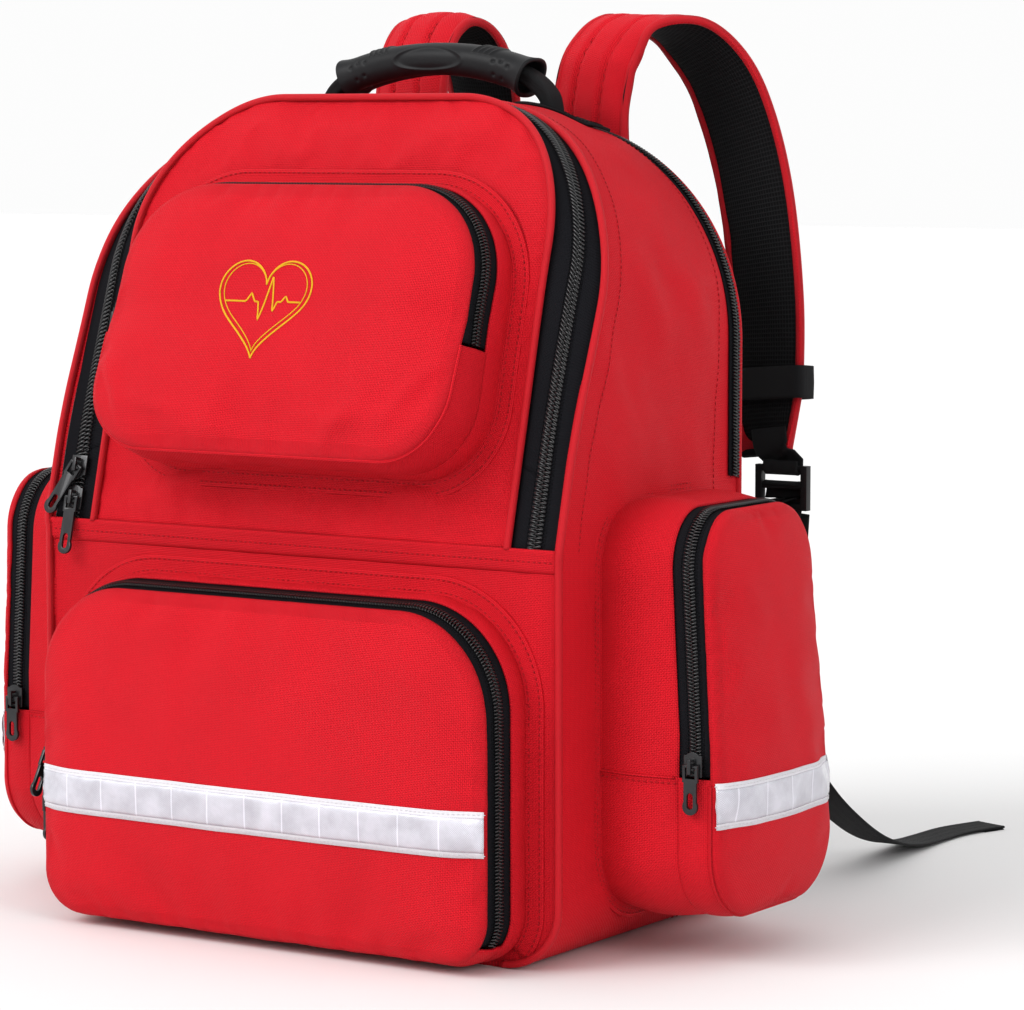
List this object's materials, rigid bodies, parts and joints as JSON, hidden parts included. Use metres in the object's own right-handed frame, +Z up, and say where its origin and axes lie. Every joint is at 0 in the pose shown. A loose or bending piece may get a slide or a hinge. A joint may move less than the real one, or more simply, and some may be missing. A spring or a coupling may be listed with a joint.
{
  "type": "trauma backpack",
  "caption": "Red arch-topped backpack with a zipped front flap, front and side pockets, reflective bands, a moulded grip and padded shoulder straps.",
  "frame": {"origin": "middle of the base of the main body, on the surface that the bag stands on", "axes": "+Z up, +X to the right seen from the front, and the front faces -Y"},
  "size_m": [0.5046, 0.5764, 0.5193],
  "materials": {
    "shell_fabric": "woven polyester, urethane backed",
    "strap_fabric": "woven polyester over foam",
    "piping": "woven, corded",
    "zip_tape": "twill tape with nylon coils",
    "lining": "plain woven lining over foam",
    "stiffener_board": "polyethylene board",
    "air_mesh": "spacer mesh over foam",
    "webbing": "woven webbing",
    "reflective_tape": "prismatic vinyl with a stitched border",
    "handle_rubber": "moulded, satin",
    "buckle_plastic": "moulded acetal",
    "slider_metal": "black enamel"
  },
  "bodies": {
    "bag": {"body_shell": "shell_fabric", "body_lining": "lining", "base_board": "stiffener_board", "back_stiffener": "stiffener_board", "back_pads": "air_mesh", "rear_divider": "lining", "padded_divider": "lining", "lower_front_panel": "shell_fabric", "body_piping": "piping", "rear_zip": "zip_tape", "main_zip_body_tape": "zip_tape", "lower_pocket_gusset": "shell_fabric", "lower_zip_gusset_tape": "zip_tape", "side_pocket_left": "shell_fabric", "side_pocket_right": "shell_fabric", "side_zip_gusset_tapes": "zip_tape", "side_reflectors": "reflective_tape", "handle_patches": "webbing", "strap_yoke": "webbing", "lower_anchors": "shell_fabric", "lower_webbings": "webbing"},
    "flap": {"flap_panel": "shell_fabric", "flap_piping": "piping", "flap_zip_tape": "zip_tape", "flap_lining": "lining", "upper_pocket_gusset": "shell_fabric", "upper_zip_gusset_tape": "zip_tape"},
    "upper_cover": {"upper_pocket_cover": "shell_fabric", "upper_zip_cover_tape": "zip_tape"},
    "lower_cover": {"lower_pocket_cover": "shell_fabric", "lower_zip_cover_tape": "zip_tape", "front_reflector": "reflective_tape"},
    "side_cover_left": {"side_cover_left": "shell_fabric"},
    "side_cover_right": {"side_cover_right": "shell_fabric"},
    "handle": {"handle_grip": "handle_rubber", "handle_webbing": "webbing"},
    "strap_left": {"shoulder_pad_left": "strap_fabric", "strap_tail_left": "webbing"},
    "strap_right": {"shoulder_pad_right": "strap_fabric", "strap_tail_right": "webbing"},
    "buckle_left": {"ladder_lock_left": "buckle_plastic"},
    "buckle_right": {"ladder_lock_right": "buckle_plastic"},
    "keeper_left": {"strap_keeper_left": "webbing"},
    "keeper_right": {"strap_keeper_right": "webbing"},
    "slider_main_low": {"slider_main_low": "slider_metal"},
    "pull_main_low": {"pull_main_low": "slider_metal"},
    "slider_main_high": {"slider_main_high": "slider_metal"},
    "pull_main_high": {"pull_main_high": "slider_metal"},
    "slider_upper": {"slider_upper": "slider_metal"},
    "pull_upper": {"pull_upper": "slider_metal"},
    "slider_lower_low": {"slider_lower_low": "slider_metal"},
    "pull_lower_low": {"pull_lower_low": "slider_metal"},
    "slider_lower_high": {"slider_lower_high": "slider_metal"},
    "pull_lower_high": {"pull_lower_high": "slider_metal"},
    "slider_side_left": {"slider_side_left": "slider_metal"},
    "pull_side_left": {"pull_side_left": "slider_metal"},
    "slider_side_right": {"slider_side_right": "slider_metal"},
    "pull_side_right": {"pull_side_right": "slider_metal"},
    "slider_rear": {"slider_rear": "slider_metal"},
    "pull_rear": {"pull_rear": "slider_metal"}
  },
  "joints": [
    {"name": "flap_fold", "type": "hinge", "parent": "bag", "child": "flap", "pos_m": [0, -0.0955, 0.2265], "axis": [1, 0, 0], "range_deg": [0, 90]},
    {"name": "upper_cover_fold", "type": "hinge", "parent": "flap", "child": "upper_cover", "pos_m": [0, -0.11314, 0.33711], "axis": [1, 0, 0], "range_deg": [0, 75]},
    {"name": "lower_cover_fold", "type": "hinge", "parent": "bag", "child": "lower_cover", "pos_m": [0, -0.1373, 0.0095], "axis": [1, 0, 0], "range_deg": [0, 75]},
    {"name": "side_cover_left_fold", "type": "hinge", "parent": "bag", "child": "side_cover_left", "pos_m": [-0.2513, 0.009, 0.1065], "axis": [0, -1, 0], "range_deg": [0, 75]},
    {"name": "side_cover_right_fold", "type": "hinge", "parent": "bag", "child": "side_cover_right", "pos_m": [0.2513, 0.009, 0.1065], "axis": [0, 1, 0], "range_deg": [0, 75]},
    {"name": "handle_swing", "type": "hinge", "parent": "bag", "child": "handle", "pos_m": [0, 0.05, 0.461], "axis": [1, 0, 0], "range_deg": [-20, 20], "stiffness_Nm_per_rad": 0.15},
    {"name": "strap_left_swing", "type": "hinge", "parent": "bag", "child": "strap_left", "pos_m": [-0.062, 0.098, 0.438], "axis": [1, 0, 0], "range_deg": [0, 12]},
    {"name": "strap_right_swing", "type": "hinge", "parent": "bag", "child": "strap_right", "pos_m": [0.065, 0.098, 0.438], "axis": [1, 0, 0], "range_deg": [0, 12]},
    {"name": "buckle_left_tilt", "type": "hinge", "parent": "strap_left", "child": "buckle_left", "pos_m": [-0.138, 0.157, 0.253], "axis": [1, 0, 0], "range_deg": [-8, 8]},
    {"name": "buckle_right_tilt", "type": "hinge", "parent": "strap_right", "child": "buckle_right", "pos_m": [0.168, 0.157, 0.253], "axis": [1, 0, 0], "range_deg": [-8, 8]},
    {"name": "keeper_left_slide", "type": "slide", "parent": "strap_left", "child": "keeper_left", "axis": [0.4356, 0.1129, 0.893], "range_m": [-0.01, 0.025]},
    {"name": "keeper_right_slide", "type": "slide", "parent": "strap_right", "child": "keeper_right", "axis": [-0.0628, 0.1195, 0.9909], "range_m": [-0.01, 0.025]},
    {"name": "slider_main_low_travel", "type": "slide", "parent": "bag", "child": "slider_main_low", "axis": [0, 0.2402, 0.9707], "range_m": [-0.005, 0.002]},
    {"name": "pull_main_low_swing", "type": "hinge", "parent": "slider_main_low", "child": "pull_main_low", "pos_m": [-0.1565, -0.09644, 0.23975], "axis": [-1, 0, 0], "range_deg": [0, 150]},
    {"name": "slider_main_high_travel", "type": "slide", "parent": "bag", "child": "slider_main_high", "axis": [0, 0.2402, 0.9707], "range_m": [-0.002, 0.08]},
    {"name": "pull_main_high_swing", "type": "hinge", "parent": "slider_main_high", "child": "pull_main_high", "pos_m": [-0.1565, -0.09188, 0.25819], "axis": [-0.866, 0.1201, 0.4854], "range_deg": [0, 150]},
    {"name": "slider_upper_travel", "type": "slide", "parent": "flap", "child": "slider_upper", "axis": [0, 0.2402, 0.9707], "range_m": [-0.004, 0.014]},
    {"name": "pull_upper_swing", "type": "hinge", "parent": "slider_upper", "child": "pull_upper", "pos_m": [-0.1251, -0.09286, 0.34497], "axis": [0, 0.9707, -0.2402], "range_deg": [0, 150]},
    {"name": "slider_lower_low_travel", "type": "slide", "parent": "bag", "child": "slider_lower_low", "axis": [0, 0, 1], "range_m": [-0.03, 0.004]},
    {"name": "pull_lower_low_swing", "type": "hinge", "parent": "slider_lower_low", "child": "pull_lower_low", "pos_m": [-0.1571, -0.1195, 0.07], "axis": [0, 1, 0], "range_deg": [0, 150]},
    {"name": "slider_lower_high_travel", "type": "slide", "parent": "bag", "child": "slider_lower_high", "axis": [0, 0, 1], "range_m": [-0.003, 0.04]},
    {"name": "pull_lower_high_swing", "type": "hinge", "parent": "slider_lower_high", "child": "pull_lower_high", "pos_m": [-0.1571, -0.1195, 0.094], "axis": [0, 0.866, -0.5], "range_deg": [0, 150]},
    {"name": "slider_side_left_travel", "type": "slide", "parent": "bag", "child": "slider_side_left", "axis": [0, 0, 1], "range_m": [-0.001, 0.086]},
    {"name": "pull_side_left_swing", "type": "hinge", "parent": "slider_side_left", "child": "pull_side_left", "pos_m": [-0.2335, -0.0601, 0.113], "axis": [-1, 0, 0], "range_deg": [0, 150]},
    {"name": "slider_side_right_travel", "type": "slide", "parent": "bag", "child": "slider_side_right", "axis": [0, 0, 1], "range_m": [-0.001, 0.086]},
    {"name": "pull_side_right_swing", "type": "hinge", "parent": "slider_side_right", "child": "pull_side_right", "pos_m": [0.2335, -0.0601, 0.113], "axis": [-1, 0, 0], "range_deg": [0, 150]},
    {"name": "slider_rear_travel", "type": "slide", "parent": "bag", "child": "slider_rear", "axis": [0, 0, 1], "range_m": [-0.005, 0.055]},
    {"name": "pull_rear_swing", "type": "hinge", "parent": "slider_rear", "child": "pull_rear", "pos_m": [-0.1827, 0.0895, 0.262], "axis": [0, 1, 0], "range_deg": [0, 150]}
  ]
}
